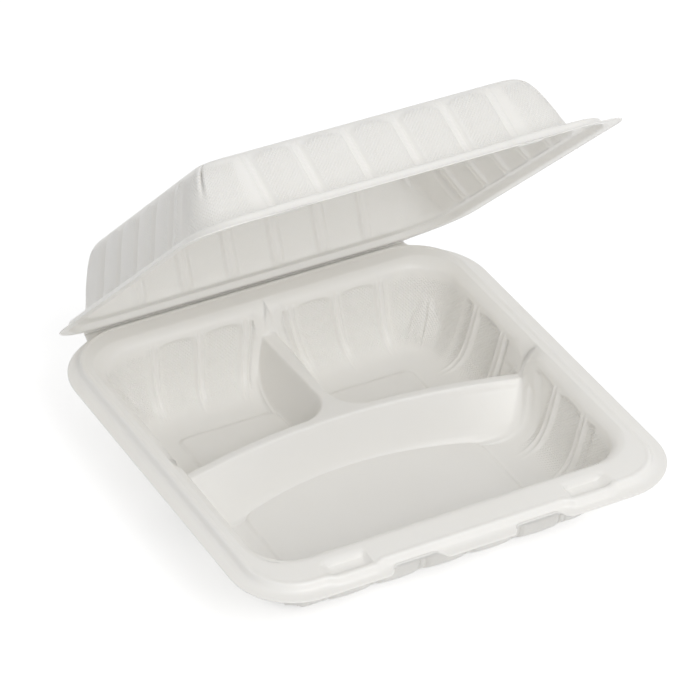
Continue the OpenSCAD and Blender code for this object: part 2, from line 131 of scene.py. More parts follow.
def places(steps):
    """Places along a control polygon, with the given number of steps in each stretch."""
    parts = [i + np.arange(n) / n for i, n in enumerate(steps)]
    return np.concatenate(parts + [[float(len(steps))]])


# Wall and divider sections as [distance from the edge, height above the flange]
WALL = [[0, 3.6], [1.6, 2.9], [4.2, 0.8], [5.1, -1.6], [5.7, -5], [7.8, -15], [9.8, -23], [12.6, -29.8],
        [17.2, -35.2], [24, -38.0], [31, FLOOR], [34.3, FLOOR], [35.4, -38.5], [36.4, -37.6], [37.4, -37.4]]
DIVIDER = [[0, -13.5], [1.2, -13.5], [2.0, -13.6], [2.7, -14.2], [3.6, -17], [5.0, -21.5], [6.4, -26],
           [7.8, -30.5], [9.0, -34], [10, -36.2], [10.7, -37.3], [11.1, -37.6], [11.4, -37.6], [11.7, -37.5],
           [12.6, -37.4]]
STEPS = [1, 2, 3, 4, 7, 5, 4, 4, 4, 3, 1, 1, 2, 1]
AT = places(STEPS)
WALL_RING = spline(WALL, AT)
DIVIDER_RING = spline(DIVIDER, AT)
WALL_RING[0], DIVIDER_RING[0] = (0.0, EDGE_Z), DIVIDER[0]


def along(values):
    """A value given at each control point, at every ring."""
    return np.interp(AT, np.arange(len(values)), values)


# Corner radii of each ring: where walls meet, where a divider meets a side wall or the back wall, and where
# the two dividers meet. The last is the share of the cross divider's bow that its foot has.
WALL_CORNER = along([22, 21.8, 21, 20.2, 19.6, 18, 16.4, 14.8, 12.6, 10.4, 8, 6, 4.5, 3.4, 3])
END_CORNER = along([0, 4.6, 5, 5.4, 6, 6.5, 7, 7, 7, 7, 6, 5, 4, 3.4, 3])
CENTRE_CORNER = along([0, 2, 2.4, 2.6, 2.8, 3.2, 3.6, 4, 4.5, 5, 5, 5, 5, 5, 5])
INNER_SHARE = along([0.5, 1, 1, 0.99, 0.97, 0.94, 0.9, 0.86, 0.8, 0.76, 0.73, 0.71, 0.7, 0.69, 0.68])
INNER_CORNER = INNER_SHARE * JUNCTION
FOOT_SHARE = along([0, 0, 0, 0, 0.1, 0.3, 0.5, 0.7, 0.85, 0.95, 1, 1, 1, 1, 1])


def cross_at(x):
    """The cross divider's middle line."""
    return CROSS_Y - x * x / (2 * CROSS_BOW)


WALL_T = cross_at(OPENING[0])


def rib_places(ribs, low, high, marks=()):
    """Columns from low to high, close together on the ribs, with the marks kept."""
    wanted = [r + s * o for r in ribs for o in RIB_COLUMNS for s in (-1, 1)] + [low, high]
    wanted = [v for v in wanted if low <= v <= high]
    kept = []
    for v in sorted(wanted):
        near = any(abs(v - m) < 0.45 for m in marks)
        if not near and (not kept or v - kept[-1] > 0.2):
            kept.append(v)
    kept = sorted(kept + [m for m in marks if low < m < high])
    kept[0], kept[-1] = low, high
    return np.array(kept)


# Columns kept where the notches and the latch pockets begin and end
NOTCH_MARKS = [s * m for s in (-1, 1) for m in
               (TAB_HALF, TAB_HALF + 1.5, TAB_HALF + 3, TAB_HALF + 4.5, TAB_HALF + 6, NOTCH_END - 6,
                NOTCH_END - 4, NOTCH_END - 2, NOTCH_END, LATCH_X - LATCH_HALF, LATCH_X - LATCH_HALF + 1,
                LATCH_X - LATCH_HALF - 0.8)]
FRONT_X = rib_places(END_RIBS, -SPAN_X, SPAN_X, NOTCH_MARKS)
BACK_X = rib_places(END_RIBS[3:], 0.0, SPAN_X, (CENTRE_END,))
SIDE_Y = rib_places(SIDE_RIBS, SIDE_FRONT, SIDE_BACK, (FRONT_SIDE_TOP, WALL_T, BACK_SIDE_LOW))

# Shares of a corner's length. More of them lie beside its middle, for the gusset's groove.
CORNER_SHARES = np.sort(np.concatenate([np.linspace(0, 1, 25)[1:-1], np.linspace(0.4485, 0.5585, 11)]))
# The hinge web ends between these shares of a back corner
HINGE_SHARES = np.array([0.268, 0.278, 0.284, 0.289, 0.294, 0.302])
BACK_SHARES = np.sort(np.concatenate([CORNER_SHARES[(CORNER_SHARES < 0.25) | (CORNER_SHARES > 0.32)],
                                      HINGE_SHARES]))


def bend(a, b, centre, radius, start, shares):
    """Points from a to b by a quarter turn counter-clockwise about the centre, at shares of the length.
    All may differ from ring to ring. The result is rings by columns by 2."""
    a, b, centre = np.atleast_2d(a), np.atleast_2d(b), np.atleast_2d(centre)
    radius = np.atleast_1d(radius)[:, None]
    s, c = math.sin(start), math.cos(start)
    enter = centre + radius * np.array([[c, s]])
    leave = centre + radius * np.array([[-s, c]])
    one = np.linalg.norm(enter - a, axis=1)[:, None]
    two = radius * math.pi / 2
    three = np.linalg.norm(b - leave, axis=1)[:, None]
    d = shares[None, :] * (one + two + three)
    turn = start + np.clip((d - one) / np.maximum(radius, 1e-9), 0, math.pi / 2)
    arc = centre[:, None] + radius[:, :, None] * np.stack([np.cos(turn), np.sin(turn)], axis=2)
    first = np.clip(d / np.maximum(one, 1e-9), 0, 1)[:, :, None]
    last = np.clip((d - one - two) / np.maximum(three, 1e-9), 0, 1)[:, :, None]
    return arc + (a - enter)[:, None] * (1 - first) + (b - leave)[:, None] * last


def loop(line, front, right, back, left, corner=CORNER_SHARES, back_corner=BACK_SHARES):
    """A rounded outline as points, counter-clockwise from the front's left end. The four lists hold the
    places of the columns on its straight stretches."""
    hx, y0, y1, rf, rb = line
    half = math.pi / 2

    def turn(a, b, centre, radius, start, shares):
        return bend(a, b, centre, radius, start, shares)[0]

    def row(xs, ys):
        return np.stack(np.broadcast_arrays(xs, ys), axis=1).astype(float)
    return np.concatenate([
        row(front, y0),
        turn((front[-1], y0), (hx, right[0]), (hx - rf, y0 + rf), rf, -half, corner),
        row(hx, right),
        turn((hx, right[-1]), (back[0], y1), (hx - rb, y1 - rb), rb, 0.0, back_corner[::-1] * -1 + 1),
        row(back, y1),
        turn((back[-1], y1), (-hx, left[0]), (rb - hx, y1 - rb), rb, half, back_corner),
        row(-hx, left),
        turn((-hx, left[-1]), (front[0], y0), (rf - hx, y0 + rf), rf, math.pi, corner)])


BACK_LOOP = np.concatenate([BACK_X[::-1], -BACK_X[1:]])
RIM_SIZES = (FRONT_X, SIDE_Y, BACK_LOOP, SIDE_Y[::-1])


def rim_loop(line):
    """An outline's points at the columns that all rim rings share."""
    return loop(line, *RIM_SIZES)


def grown(line, by, back=1.0):
    """The outline moved outwards. Back is the share of the move that its back side makes."""
    return line + by * np.array([1, -1, back, 1, 1])


def near_latch(x):
    """1 along a latch and 0 away from it. The bead bulges there."""
    return 1 - ease(LATCH_HALF, LATCH_HALF + 4.5, abs(abs(x) - LATCH_X))


def in_latch(x, inset):
    """1 on the floor of a latch pocket."""
    return 1 - ease(LATCH_HALF - 1.0 - inset, LATCH_HALF - inset, abs(abs(x) - LATCH_X))


def in_notch(x):
    """1 in the notches that leave the tab at the flange's front."""
    return ease(TAB_HALF, TAB_HALF + 6, abs(x)) * (1 - ease(NOTCH_END - 6, NOTCH_END, abs(x)))


# The rim from the flange's edge to the bead as [outwards from the bead, height], then the land as
# [share of the way to the opening, share of the latch pocket's depth]
BEAD_ROWS = [[4.4, 0.04], [2.5, 0.22], [1.6, 0.8], [1.05, 1.9], [0.6, 3.05], [0.15, 3.62], [-0.5, 3.85],
             [-1.4, 3.85], [-2.1, 3.62]]
LAND_ROWS = [[0.02, 0], [0.065, 0.9], [0.09, 1], [0.28, 1], [0.455, 1], [0.49, 0.85], [0.525, 0], [0.78, 0],
             [0.94, 0]]
# The lid's bosses stand inside the pockets, clear of their walls
BOSS_ROWS = [[0.05, 0], [0.12, 0.9], [0.15, 1], [0.28, 1], [0.40, 1], [0.43, 0.85], [0.47, 0], [0.78, 0],
             [0.94, 0]]
BOSS_INSET = 1.1
EDGE_ROWS = [[0.0, -0.2], [0.08, -0.03], [0.35, 0.0]]


def rim_rings(edge, land, lift=0.0, inset=0.0, notch=True):
    """The rings of a rim from its edge to the opening. Lift is the lid's clearance, and moves them outwards
    too. Inset is that of the bosses."""
    bead = grown(BEAD, lift)
    hole = grown(OPENING, -lift)
    foot = grown(bead, BEAD_ROWS[0][0], 0.4)
    groove = grown(bead, BEAD_ROWS[-1][0])
    front = np.abs(rim_loop(edge)[:, 1] - edge[1]) < 1e-6
    rings = []
    for share, height in EDGE_ROWS:
        p = rim_loop(edge + (foot - edge) * share)
        if notch:
            p[:, 1] += np.where(front, NOTCH_DEPTH * in_notch(p[:, 0]) * (1 - share), 0)
        web = (p[:, 1] > 0) * (1 - ease(HINGE_HALF - 0.4, HINGE_HALF + 1.6, np.abs(p[:, 0])))
        start = p[:, 1].copy()
        p[:, 1] += web * np.maximum(CREASE_Y - WEB_GAP - start, 0) * (1 - share) ** 2
        z = np.full(len(p), height + lift) * (1 - web) + web * lift
        rings.append(np.column_stack([p, z]))
    for out, height in BEAD_ROWS:
        p = rim_loop(grown(bead, out, 0.5 if out > 0 else 1.0))
        p[:, 1] -= np.where(front, LATCH_BULGE * near_latch(p[:, 0]) * ease(6.5, 1.5, out), 0)
        if out > 4:
            web = (p[:, 1] > 0) * (np.abs(p[:, 0]) < HINGE_HALF)
            p[:, 1] += web * 0.3
        rings.append(np.column_stack([p, np.full(len(p), height + lift)]))
    for share, drop in land:
        p = rim_loop(groove + (hole - groove) * share)
        p[:, 1] -= np.where(front, LATCH_BULGE * near_latch(p[:, 0]) * max(0, 1 - share * 2), 0)
        z = BEAD_H - np.where(front, LATCH_DROP * drop * in_latch(p[:, 0], inset), 0)
        rings.append(np.column_stack([p, z + lift]))
    p = rim_loop(hole)
    rings.append(np.column_stack([p, np.full(len(p), EDGE_Z + lift)]))
    return np.array(rings)


def rib_offset(v, ribs):
    """Distance to the nearest rib."""
    return np.min(np.abs(np.asarray(v)[..., None] - ribs), axis=-1)


# Height of the panels' tops and bottoms, their depth, the arches' drop and the ridges' height
TRAY_FLUTE = (-2.2, FLOOR + 0.6, 1.7, 3.2, 0.9)


def panel_shape(off):
    """How far a panel is pressed out: a step beside the rib, then a shallow barrel to its middle."""
    half = PITCH / 2
    barrel = 1 - (np.clip(half - off, 0, half - PLATEAU) / (half - PLATEAU)) ** 2
    return 0.5 * ease(PLATEAU, PLATEAU + 0.9, off) + 0.5 * barrel


def arch(off, top, drop):
    """The height of a panel's arched top."""
    half = PITCH / 2
    reach = np.clip((half - off) / (half - PLATEAU + 0.6), 0, 1)
    return top - drop * (1 - np.sqrt(1 - reach ** 2))


def rib_pair(off):
    """Two thin ridges with a groove between them."""
    return np.exp(-((off - RIB_PAIR) / RIB_WIDTH) ** 2)


def relief(off, height, top, bottom, depth, drop, ridge):
    """How far a fluted wall stands inwards: its ribs' ridges, less the panels that are pressed outwards
    between them under arched tops."""
    panel = panel_shape(off) * ease(0.0, 1.5, arch(off, top, drop) - height)
    panel = panel * ease(bottom, bottom + 7, height)
    line = rib_pair(off) * ease(0.0, 1.2, top + 0.6 - height) * ease(bottom - 1, bottom + 3, height)
    return ridge * line - depth * panel


def link(data, name):
    thing = bpy.data.objects.new(name, data)
    bpy.context.scene.collection.objects.link(thing)
    return thing


def baked(piece):
    """The object's mesh with its modifiers applied."""
    graph = bpy.context.evaluated_depsgraph_get()
    data = bpy.data.meshes.new_from_object(piece.evaluated_get(graph))
    piece.modifiers.clear()
    piece.data = data
    return piece


class Sheet:
    """Collects grids of points into one surface, with the place of each point along the walls."""

    def __init__(self):
        self.points, self.faces, self.floors, self.marks = [], [], [], []
        self.count = 0

    def grid(self, points, u, v, weave, closed=True, flip=False):
        """Rings by columns. U runs along the ring, v down the section, and weave is the embossing's share."""
        rings, columns = points.shape[:2]
        ids = self.count + np.arange(rings * columns).reshape(rings, columns)
        near = ids if closed else ids[:, :-1]
        far = np.roll(ids, -1, axis=1) if closed else ids[:, 1:]
        quads = np.stack([near[:-1], far[:-1], far[1:], near[1:]], axis=-1).reshape(-1, 4)
        self.faces.append(quads[:, ::-1] if flip else quads)
        self.points.append(points.reshape(-1, 3))
        values = [np.broadcast_to(value, (rings, columns)) for value in (u, v, weave)]
        self.marks.append(np.stack(values, axis=-1).reshape(-1, 3))
        self.count += rings * columns

    def floor(self, columns, flip=False):
        """One face across the last ring."""
        ring = np.arange(self.count - columns, self.count).tolist()
        self.floors.append(ring[::-1] if flip else ring)


def walk(points):
    """Distance along a ring."""
    step = np.linalg.norm(np.diff(points, axis=-2), axis=-1)
    return np.concatenate([np.zeros(points.shape[:-2] + (1,)), np.cumsum(step, axis=-1)], axis=-1)


def fitted(v, low, high, to_low, to_high):
    """Columns v between low and high, squeezed where a ring leaves less room than that."""
    a, b = np.maximum(low, to_low)[:, None], np.minimum(high, to_high)[:, None]
    return a + (v[None, :] - low) * (b - a) / (high - low)


J = len(AT)
W0, WZ = WALL_RING[:, 0], WALL_RING[:, 1]
E0, EZ = DIVIDER_RING[:, 0], DIVIDER_RING[:, 1]
X1 = OPENING[0] - W0
FRONT_REACH = 5.0
Y0 = OPENING[1] + W0 - FRONT_REACH * ease(4.5, 14, W0) * (1 - ease(26, 34, W0))
Y1 = OPENING[2] - W0

# Columns on the dividers, from the wall inwards
END_STEPS = np.array([1.2, 2.4, 3.5, 4.4, 5.1, 5.8, 6.8, 8.0, 9.6, 12.5, 18, 26])
CROSS_MID = np.linspace(CROSS_SPAN, JUNCTION, 19)
CROSS_IN = np.linspace(JUNCTION, 0, 9)[1:]
CENTRE_LOW = CROSS_Y + JUNCTION
CENTRE_REACH = 18.0
CENTRE_HIGH = OPENING[2] - CENTRE_REACH
CENTRE_STEPS = END_STEPS[:10]
CENTRE_MID = np.linspace(CENTRE_HIGH, CENTRE_LOW, 13)
CENTRE_IN = np.linspace(CENTRE_LOW, CROSS_Y, 9)[1:]
DEEPEST = int(np.argmin(WZ))


def climbing(distance, low=DIVIDER_TOP):
    """Height at a distance from the opening's edge where a divider's top runs up to the wall."""
    wall = np.interp(distance, W0, WZ)
    return 0.5 * (wall + low + np.sqrt((wall - low) ** 2 + 1.0))


def wall_reach(height):
    """Distance from the opening's edge at which the wall has a height."""
    return np.interp(-height, -WZ[:DEEPEST], W0[:DEEPEST])


# A quarter circle's middle is this share of its radius away from either side
CORNER_MIDDLE = 1 - math.sqrt(0.5)


def rounded_gap(q, distance):
    """How far a corner of radius q keeps from one of its sides, at a distance from the other."""
    return q - np.sqrt(np.maximum(q * q - np.clip(q - distance, 0, q) ** 2, 0))


def end_turn(q, marks, far, steps, reach):
    """Where a divider's face meets a wall: distances from the wall and from the face, and heights. Marks are
    columns on the wall and steps are columns on the divider, at ring 0. Far and reach are the room that each
    ring has along the wall and along the divider."""
    q, far, reach = q[:, None], far[:, None], reach[:, None]
    start = CORNER_MIDDLE * q
    marks = np.append(marks, 0.0)[None, :]
    steps = steps[None, :]
    b1 = start + marks * (far - start) / far[0]
    a1 = rounded_gap(q, b1)
    a2 = start + steps * (reach - start) / reach[0]
    b2 = rounded_gap(q, a2)
    a, b = np.concatenate([a1, a2], axis=1), np.concatenate([b1, b2], axis=1)
    room = q + 4
    before = 0.5 * ease(1, 0, (b1 - start) / room)
    behind = 0.5 + 0.5 * ease(0, 1, (a2 - start) / room)
    share = np.concatenate([before, behind], axis=1)
    wall, low = WZ[:, None], EZ[:, None]
    lower = wall * (1 - share) + low * share
    upper = np.concatenate([np.broadcast_to(wall, a1.shape), climbing(W0[:, None] + a2, low)], axis=1)
    low_share = ease(0.0, 1.5, AT)[:, None]
    z = np.minimum(upper, upper * (1 - low_share) + lower * low_share)
    on_wall = ease(DIVIDER_TOP - 1.5, DIVIDER_TOP + 1.0, z) * (AT[:, None] > 0)
    a = a * (1 - on_wall) + (wall_reach(z) - W0[:, None]) * on_wall
    return a, b, z, start[:, 0], share


def stack(x, y, z):
    """Points from coordinates that are spread over rings and columns."""
    return np.stack(np.broadcast_arrays(x, y, z), axis=-1).astype(float)


def two_halves(first, second):
    """Shares of a bend: the first columns lie before its middle and the others behind it."""
    a = np.arange(1, first + 1) / (first + 1) * 0.5
    b = 0.5 + np.arange(0, second) / second * 0.5
    return np.concatenate([a, b])


def gusset(angle, depth):
    """Two flat petals that meet at a creased rib on a corner's diagonal, with a thin ridge beside it. Depth
    grows from 0 to 1 down the corner, and so does the fan."""
    width = np.radians(5 + 27 * depth)
    part = np.abs(angle) / width
    petal = 1.0 * (1 - ease(0.86, 1.0, part)) + 1.5 * np.clip(1 - part, 0, 1)
    crease = 1 - ease(0.02, 0.06, np.abs(angle))
    line = ease(0.05, 0.075, angle) * (1 - ease(0.10, 0.14, angle))
    return (petal - 1.3 * crease * ease(0, 0.1, depth) + 0.35 * line) * ease(0, 0.25, depth)


def press_corner(corner, centre, side):
    """Presses the gusset into a tray corner. Side is the corner's sign along x and y."""
    rel = corner[..., :2] - centre[:, None]
    angle = np.arctan2(rel[..., 1] * side[1], rel[..., 0] * side[0]) - math.pi / 4
    z = corner[..., 2]
    push = gusset(angle, ease(13.0, 31.0, -z)) * ease(FLOOR + 0.5, FLOOR + 5.5, z)
    corner[..., 0] -= push * side[0] * DIAGONAL
    corner[..., 1] -= push * side[1] * DIAGONAL


def weave_mask(off):
    """The embossing's share on a straight wall."""
    beside_ribs = ease(PLATEAU + 0.8, PLATEAU + 2.0, off)
    return beside_ribs * (ease(0, 3, -2.5 - WZ) * ease(FLOOR + 1.5, FLOOR + 5.5, WZ))[:, None]


def corner_weave(shares):
    """The embossing's share on a corner, none at its ends, where the pattern's columns don't meet."""
    edges = ease(0.0, 0.08, shares) * ease(1.0, 0.92, shares)
    return edges[None, :] * (ease(0, 3, -3.0 - WZ) * ease(FLOOR + 1, FLOOR + 5, WZ))[:, None]


def front_cell():
    """The large compartment: rings by columns, with the first ring on the opening and the cross divider."""
    cx, cy = X1 - WALL_CORNER, Y0 + WALL_CORNER
    q = END_CORNER

    def face(x):
        return cross_at(x) - E0[:, None] - FOOT_SHARE[:, None] * x * x / FOOT_BOW

    start = CORNER_MIDDLE * q
    top = face((X1 - start)[:, None])[:, 0]
    side_v = SIDE_Y[SIDE_Y <= FRONT_SIDE_TOP]
    wall_v = SIDE_Y[(SIDE_Y > FRONT_SIDE_TOP) & (SIDE_Y < WALL_T - 1e-6)]
    low = np.maximum(SIDE_FRONT, cy)
    high = np.minimum(FRONT_SIDE_TOP, top - q)
    span = np.minimum(SPAN_X, cx)
    cross_span = np.minimum(CROSS_SPAN, X1 - q)

    side = fitted(side_v, SIDE_FRONT, FRONT_SIDE_TOP, low, high)
    right = stack(X1[:, None], side, WZ[:, None])
    a, b, z, start, share = end_turn(q, WALL_T - wall_v, top - high, END_STEPS, X1 - cross_span)
    end = stack(X1[:, None] - a, face(X1[:, None] - np.maximum(a, start[:, None])) - b, z)
    cross_x = np.concatenate([CROSS_MID, CROSS_IN, -CROSS_IN[::-1][1:], -CROSS_MID[::-1]])
    xs = cross_x[None, :] * (cross_span / CROSS_SPAN)[:, None]
    cross = stack(xs, face(xs), EZ[:, None])
    corner = bend(np.column_stack([span, Y0]), np.column_stack([X1, low]), np.column_stack([cx, cy]),
                  WALL_CORNER, -math.pi / 2, CORNER_SHARES)
    corner = with_height(corner, WZ)
    front = stack(FRONT_X[None, :] * (span / SPAN_X)[:, None], Y0[:, None], WZ[:, None])

    top_edge = rim_loop(OPENING)
    n = len(FRONT_X)
    corner[0, :, :2] = top_edge[n:n + len(CORNER_SHARES)]

    side_off = rib_offset(side_v, SIDE_RIBS)[None, :]
    front_off = rib_offset(FRONT_X, END_RIBS)[None, :]
    size = (WZ[:, None], *TRAY_FLUTE)
    right[..., 0] -= relief(side_off, *size)
    front[..., 1] += relief(front_off, *size)
    n1 = len(wall_v) + 1
    end_off = rib_offset(np.append(wall_v, WALL_T), SIDE_RIBS)[None, :]
    fade = ease(0.3, 0.05, share[:, :n1]) * (AT[:, None] > 0)
    end[:, :n1, 0] -= relief(end_off, z[:, :n1], *TRAY_FLUTE) * fade
    press_corner(corner, np.column_stack([cx, cy]), (1, -1))

    def mirror(part):
        return part[:, ::-1] * np.array([-1, 1, 1])
    half = [corner, right, end]
    grid = np.concatenate([front] + half + [cross] + [mirror(part) for part in half[::-1]], axis=1)
    weave_front, weave_right = weave_mask(front_off), weave_mask(side_off)
    weave_corner = corner_weave(CORNER_SHARES)
    blank_end, blank_cross = np.zeros(end.shape[:2]), np.zeros(cross.shape[:2])
    weave = np.concatenate([weave_front, weave_corner, weave_right, blank_end, blank_cross, blank_end,
                            weave_right[:, ::-1], weave_corner[:, ::-1]], axis=1)
    return grid, weave


def back_cell():
    """The right-hand small compartment, counter-clockwise from the low end of its side wall."""
    cx, cy = X1 - WALL_CORNER, Y1 - WALL_CORNER
    q, g, p = END_CORNER, INNER_CORNER, CENTRE_CORNER
    centre_flare = 1.3

    def face(x):
        return cross_at(x) + E0[:, None]

    def middle(y):
        return E0[:, None] + centre_flare * ease(CENTRE_LOW, CENTRE_HIGH, y) * np.minimum(E0, 2)[:, None] / 2

    start = CORNER_MIDDLE * q
    low = face((X1 - start)[:, None])[:, 0]
    side_v = SIDE_Y[SIDE_Y >= BACK_SIDE_LOW]
    wall_v = SIDE_Y[(SIDE_Y > WALL_T + 1e-6) & (SIDE_Y < BACK_SIDE_LOW)][::-1]
    to_low, to_high = np.maximum(BACK_SIDE_LOW, low + q), np.minimum(SIDE_BACK, cy)
    span = np.minimum(SPAN_X, cx)
    cross_span = np.minimum(CROSS_SPAN, X1 - q)
    side = fitted(side_v, BACK_SIDE_LOW, SIDE_BACK, to_low, to_high)
    right = stack(X1[:, None], side, WZ[:, None])
    corner = bend(np.column_stack([X1, to_high]), np.column_stack([span, Y1]), np.column_stack([cx, cy]),
                  WALL_CORNER, 0.0, 1 - BACK_SHARES[::-1])
    corner = with_height(corner, WZ)

    x_in = middle((Y1 - p)[:, None])[:, 0]
    back_v = BACK_X[BACK_X >= CENTRE_END][::-1]
    to_in = np.maximum(CENTRE_END, x_in + p)
    xs = to_in[:, None] + (back_v[None, :] - CENTRE_END) * (span - to_in)[:, None] / (SPAN_X - CENTRE_END)
    back = stack(xs, Y1[:, None], WZ[:, None])
    end_v = BACK_X[(BACK_X > 1e-6) & (BACK_X < CENTRE_END)][::-1]
    centre_high = np.minimum(CENTRE_HIGH, Y1 - p)
    a, b, z, begin, _ = end_turn(p, end_v, to_in - x_in, CENTRE_STEPS, Y1 - centre_high)
    ys = Y1[:, None] - a
    centre_end = stack(middle(Y1[:, None] - np.maximum(a, begin[:, None])) + b, ys, z)

    inner = face((E0 + g)[:, None])[:, 0] + g
    centre_low = np.maximum(CENTRE_LOW, inner)
    ys = fitted(CENTRE_MID, CENTRE_LOW, CENTRE_HIGH, centre_low, centre_high)
    centre = stack(middle(ys), ys, EZ[:, None])
    inner_shares = two_halves(len(CENTRE_IN) - 1, len(CROSS_IN))
    cross_low = np.maximum(JUNCTION, E0 + g)
    knee = bend(np.column_stack([middle(centre_low[:, None])[:, 0], centre_low]),
                np.column_stack([cross_low, face(cross_low[:, None])[:, 0]]),
                np.column_stack([E0 + g, inner]), g, math.pi, inner_shares)
    knee = with_height(knee, EZ)
    mid = CROSS_MID[::-1]
    cs = fitted(mid, JUNCTION, CROSS_SPAN, cross_low, cross_span)
    cross = stack(cs, face(cs), EZ[:, None])
    a, b, z, begin, _ = end_turn(q, wall_v - WALL_T, to_low - low, END_STEPS, X1 - cross_span)
    end = stack(X1[:, None] - a, face(X1[:, None] - np.maximum(a, begin[:, None])) + b, z)

    # The first ring lies on the opening's edge and the dividers' middle lines
    loop_points = rim_loop(OPENING)
    first = len(FRONT_X) + len(CORNER_SHARES) + len(SIDE_Y)
    corner[0, :, :2] = loop_points[first:first + len(BACK_SHARES)]
    back[0] = stack(back_v, OPENING[2], EDGE_Z)
    knee[0, :len(CENTRE_IN)] = stack(0.0, CENTRE_IN, DIVIDER_TOP)
    knee[0, len(CENTRE_IN) - 1:] = stack(CROSS_IN[::-1], cross_at(CROSS_IN[::-1]), DIVIDER_TOP)

    side_off = rib_offset(side_v, SIDE_RIBS)[None, :]
    back_off = rib_offset(back_v, END_RIBS)[None, :]
    size = (WZ[:, None], *TRAY_FLUTE)
    right[..., 0] -= relief(side_off, *size)
    back[..., 1] -= relief(back_off, *size)
    press_corner(corner, np.column_stack([cx, cy]), (1, 1))

    grid = np.concatenate([right, corner, back, centre_end, centre, knee, cross, end[:, ::-1]], axis=1)
    woven = np.concatenate([weave_mask(side_off), corner_weave(BACK_SHARES), weave_mask(back_off)], axis=1)
    blank = np.zeros((J, grid.shape[1] - woven.shape[1]))
    return grid, np.concatenate([woven, blank], axis=1)


def section_walk():
    """Distance down the wall's section at each ring."""
    return np.concatenate([[0], np.cumsum(np.linalg.norm(np.diff(WALL_RING, axis=0), axis=1))])


def with_height(flat, z):
    """Gives rings of x and y the rings' heights."""
    return np.concatenate([flat, np.broadcast_to(z[:, None, None], flat.shape[:2] + (1,))], axis=-1)


def add_cell(sheet, grid, weave, flip):
    """Adds a compartment, with one flat face for its floor."""
    reference = walk(grid)[J // 3]
    sheet.grid(grid, reference[None, :], section_walk()[:, None], weave, flip=flip)
    sheet.floor(grid.shape[1], flip)


def in_cad_frame(points):
    return points + SHIFT


def opened(points):
    """From the closed lid's place to the CAD frame, with the lid turned open about the crease."""
    y, z = points[:, 1] - CREASE_Y, points[:, 2] - CREASE_Z
    c, s = math.cos(OPEN_ANGLE), math.sin(OPEN_ANGLE)
    return np.column_stack([points[:, 0], CREASE[1] + y * c + z * s, CREASE[2] - y * s + z * c])


def finish_mesh(sheet, name, move):
    """The sheet's surface as an object, merged along the grids' common edges."""
    points = move(np.concatenate(sheet.points)) * MM
    marks = np.concatenate(sheet.marks)
    faces = [face for block in sheet.faces for face in block.tolist()] + sheet.floors
    data = bpy.data.meshes.new(name)
    data.from_pydata(points.tolist(), [], faces)
    for i, key in enumerate(("wall_along", "wall_down", "weave")):
        data.attributes.new(key, "FLOAT", "POINT").data.foreach_set("value", marks[:, i].astype(np.float32))
    work = bmesh.new()
    work.from_mesh(data)
    bmesh.ops.remove_doubles(work, verts=work.verts, dist=MERGE * MM)
    work.to_mesh(data)
    work.free()
    data.shade_smooth()
    return link(data, name)


def thickened(piece, offset, upper, lower):
    """Gives the surface the sheet's thickness. Offset is -1 if the surface is the sheet's front, and 1 if its
    back. Upper is the surface's own material."""
    piece.data.materials.append(upper)
    piece.data.materials.append(lower)
    solid = piece.modifiers.new("sheet", "SOLIDIFY")
    solid.thickness = SHEET * MM
    solid.offset = offset
    solid.use_rim = True
    solid.material_offset = 1
    return baked(piece)


def make_tray():
    sheet = Sheet()
    rings = rim_rings(FLANGE, LAND_ROWS)
    sheet.grid(rings, walk(rings[-1])[None, :], -30 + walk(rings.transpose(1, 0, 2))[0][:, None], 0.0)
    grid, weave = front_cell()
    add_cell(sheet, grid, weave, False)
    grid, weave = back_cell()
    add_cell(sheet, grid, weave, False)
    add_cell(sheet, grid * np.array([-1, 1, 1]), weave, True)
    return thickened(finish_mesh(sheet, "tray_sheet", in_cad_frame), -1, INNER_PLASTIC, OUTER_PLASTIC)


# The lid's wall as [distance inwards from the opening, height above the flange]
LID_WALL = [[0, 3.6], [1.0, 4.6], [2.2, 6.6], [4.2, 10.8], [6.0, 15.5], [8.6, 22], [11.2, 28], [13.4, 32.2],
            [15.6, 34.8], [18.6, 36.2], [22, 36.6], [27, 36.6], [29.5, 36.6], [30.6, 36.3], [31.6, 35.7],
            [33, 35.6]]
LID_STEPS = [1, 2, 3, 4, 5, 5, 5, 4, 3, 2, 2, 1, 1, 2, 1]
# The wall's ring whose columns place the embossing
LID_U_RING = 8
LID_CORNER = [22, 21, 19, 16, 13, 10.5, 9, 8.5, 8.5, 8.5, 8.5, 8, 8, 8, 8, 8]

# The lid's flutes, as the tray's
LID_FLUTE = (34.6, 2.0, 2.0, 5.2, 0.5)


def lid_flute(off, height):
    """How far a flute stands outwards, and the embossing's share there."""
    mask = ease(PLATEAU + 0.8, PLATEAU + 2.0, off) * ease(0, 2, arch(off, *LID_FLUTE[::3]) - height)
    return -relief(off, height, *LID_FLUTE), mask * ease(5, 7.5, height)


def lid_groove(points, line, height, sx, sy):
    """The move of a corner's points that presses a groove on its diagonal, between two low ridges."""
    radius = line[3] if sy < 0 else line[4]
    centre = np.array([sx * (line[0] - radius), line[1] + radius if sy < 0 else line[2] - radius])
    rel = points - centre
    angle = np.abs(np.arctan2(rel[:, 1] * sy, rel[:, 0] * sx) - math.pi / 4)
    depth = float(ease(17.0, 31.0, height)) * float(ease(36.4, 35.0, height))
    ridge = ease(0.09, 0.16, angle) * (1 - ease(0.26, 0.36, angle))
    move = (1.7 * (1 - ease(0.07, 0.14, angle)) - 0.5 * ridge) * depth
    return move[:, None] * np.array([sx, sy]) * DIAGONAL


